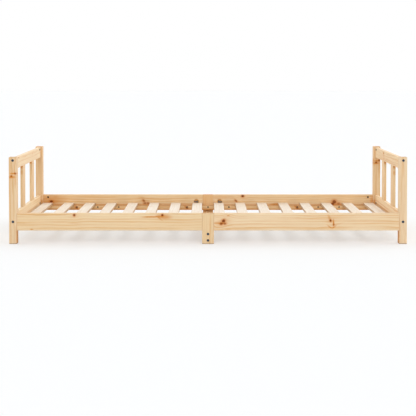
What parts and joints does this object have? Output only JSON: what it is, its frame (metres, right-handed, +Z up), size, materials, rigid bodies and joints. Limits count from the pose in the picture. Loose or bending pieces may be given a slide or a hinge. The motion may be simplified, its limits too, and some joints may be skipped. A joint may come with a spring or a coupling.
{
  "type": "kids bed",
  "caption": "Low solid-pine bed frame for a child, with open spindle end frames, split side rails that meet at centre legs, and slats on ledgers that carry a mattress.",
  "frame": {"origin": "on the floor under the middle of the bed", "axes": "+X along the bed towards the foot end, +Y across it towards the back, +Z up"},
  "size_m": [2.06, 0.855, 0.45],
  "materials": {
    "frame_pine": "clear satin lacquer on pine",
    "slat_pine": "planed raw pine",
    "dowel_wood": "turned raw hardwood",
    "dark_steel": "black-zinc plated steel",
    "zinc_steel": "zinc plated steel"
  },
  "bodies": {
    "root": {"centre_cross_beam": "frame_pine", "centre_dowels": "dowel_wood", "centre_leg_back": "frame_pine", "centre_leg_bolts": "dark_steel", "centre_leg_front": "frame_pine", "centre_tie_rods": "zinc_steel", "corner_dowels": "dowel_wood", "cross_beam_barrel_nuts": "zinc_steel", "end_rail_barrel_nuts": "zinc_steel", "end_rail_bolts": "dark_steel", "end_rail_dowels": "dowel_wood", "footboard_lower_rail": "frame_pine", "footboard_spindle_back": "frame_pine", "footboard_spindle_front": "frame_pine", "footboard_top_rail": "frame_pine", "half_moon_washers": "zinc_steel", "headboard_lower_rail": "frame_pine", "headboard_spindle_back": "frame_pine", "headboard_spindle_front": "frame_pine", "headboard_top_rail": "frame_pine", "ledger_screws": "zinc_steel", "post_back_left": "frame_pine", "post_back_right": "frame_pine", "post_front_left": "frame_pine", "post_front_right": "frame_pine", "side_rail_back_left": "frame_pine", "side_rail_back_right": "frame_pine", "side_rail_barrel_nuts": "zinc_steel", "side_rail_bolts": "dark_steel", "side_rail_front_left": "frame_pine", "side_rail_front_right": "frame_pine", "slat_01": "slat_pine", "slat_02": "slat_pine", "slat_03": "slat_pine", "slat_04": "slat_pine", "slat_05": "slat_pine", "slat_06": "slat_pine", "slat_07": "slat_pine", "slat_08": "slat_pine", "slat_09": "slat_pine", "slat_10": "slat_pine", "slat_11": "slat_pine", "slat_12": "slat_pine", "slat_13": "slat_pine", "slat_14": "slat_pine", "slat_15": "slat_pine", "slat_16": "slat_pine", "slat_ledger_back_left": "frame_pine", "slat_ledger_back_middle": "frame_pine", "slat_ledger_back_right": "frame_pine", "slat_ledger_front_left": "frame_pine", "slat_ledger_front_middle": "frame_pine", "slat_ledger_front_right": "frame_pine", "slat_pegs": "dowel_wood", "tie_rod_nuts": "zinc_steel"}
  },
  "joints": []
}
